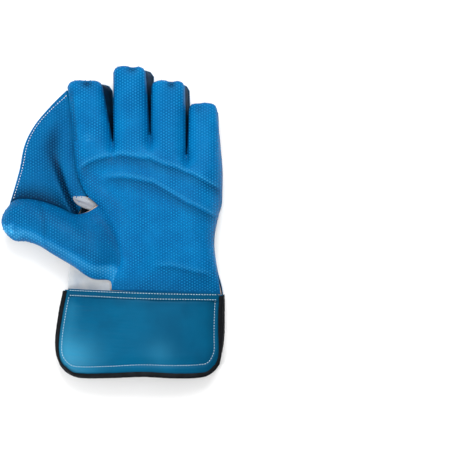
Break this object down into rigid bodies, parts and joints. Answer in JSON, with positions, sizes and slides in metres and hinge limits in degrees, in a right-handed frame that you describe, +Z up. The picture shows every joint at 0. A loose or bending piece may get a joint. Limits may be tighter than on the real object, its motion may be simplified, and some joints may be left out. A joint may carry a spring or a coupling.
{
  "type": "wicketkeeping glove",
  "caption": "Left-hand wicketkeeping glove in blue, lying palm up, with a pimpled rubber palm, a catching web and a bound cuff.",
  "frame": {"origin": "middle of the glove's outline in plan, on the surface that it lies on", "axes": "+Y towards the fingertips, +Z up out of the palm, thumb towards -X"},
  "size_m": [0.2426, 0.3384, 0.0483],
  "materials": {
    "pimpled_rubber": "pimpled, satin",
    "back_leather": "smooth, semi-gloss",
    "side_leather": "smooth, satin",
    "cuff_leather": "fine grained, semi-gloss",
    "binding": "folded tape, satin",
    "lining": "soft, matte"
  },
  "bodies": {
    "root": {"palm_facing": "pimpled_rubber", "web_facing": "pimpled_rubber", "back_panel": "back_leather", "thumb_back": "back_leather", "web_back": "back_leather", "index_sidewall": "side_leather", "middle_sidewall": "side_leather", "ring_sidewall": "side_leather", "little_sidewall": "side_leather", "index_welt": "lining", "middle_welt": "lining", "ring_welt": "lining", "little_welt": "lining", "cuff_panel": "cuff_leather", "cuff_band": "cuff_leather", "cuff_binding_palm": "binding", "cuff_binding_back": "binding", "wrist_lining": "lining", "crotch_lining": "lining"}
  },
  "joints": []
}
